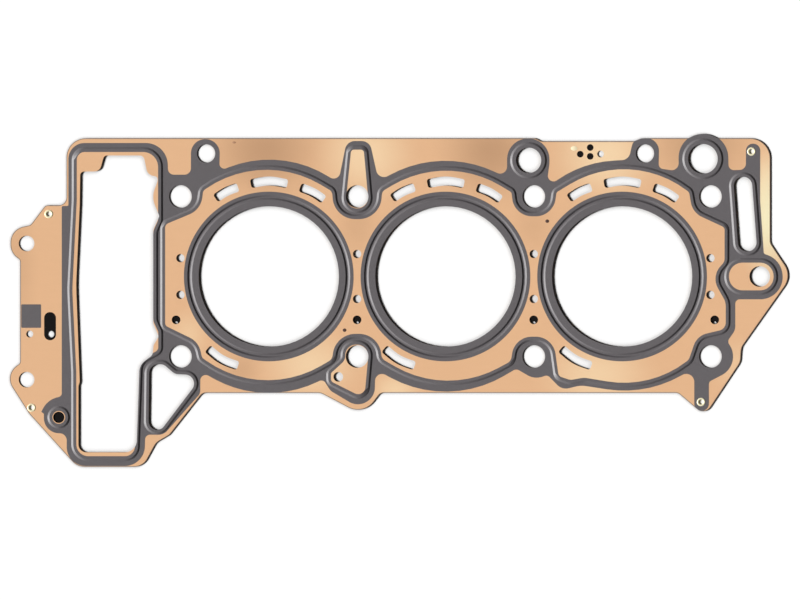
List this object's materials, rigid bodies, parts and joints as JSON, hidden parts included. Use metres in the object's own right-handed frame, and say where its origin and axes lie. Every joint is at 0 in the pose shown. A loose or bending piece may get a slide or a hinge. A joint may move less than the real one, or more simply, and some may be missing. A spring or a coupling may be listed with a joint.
{
  "type": "cylinder head gasket",
  "caption": "Multi-layer steel head gasket for one bank of an engine, with beaded bores, coolant slots, oil passages and a long opening over the timing case.",
  "frame": {"origin": "axis of the middle cylinder bore, half way through the base layer", "axes": "+X along the cylinder row away from the timing end, +Y in the gasket's plane towards its straight long edge, +Z out of the bead layer towards the cylinder head"},
  "size_m": [0.4669, 0.1998, 0.0013],
  "materials": {
    "coated_sheet": "copper-tan heat-resistant lacquer with a grey printed seal",
    "black_sheet": "black coating",
    "eyelet_metal": "bright plating"
  },
  "bodies": {
    "root": {"upper_bead_layer": "coated_sheet", "base_layer": "black_sheet", "eyelets": "eyelet_metal"}
  },
  "joints": []
}
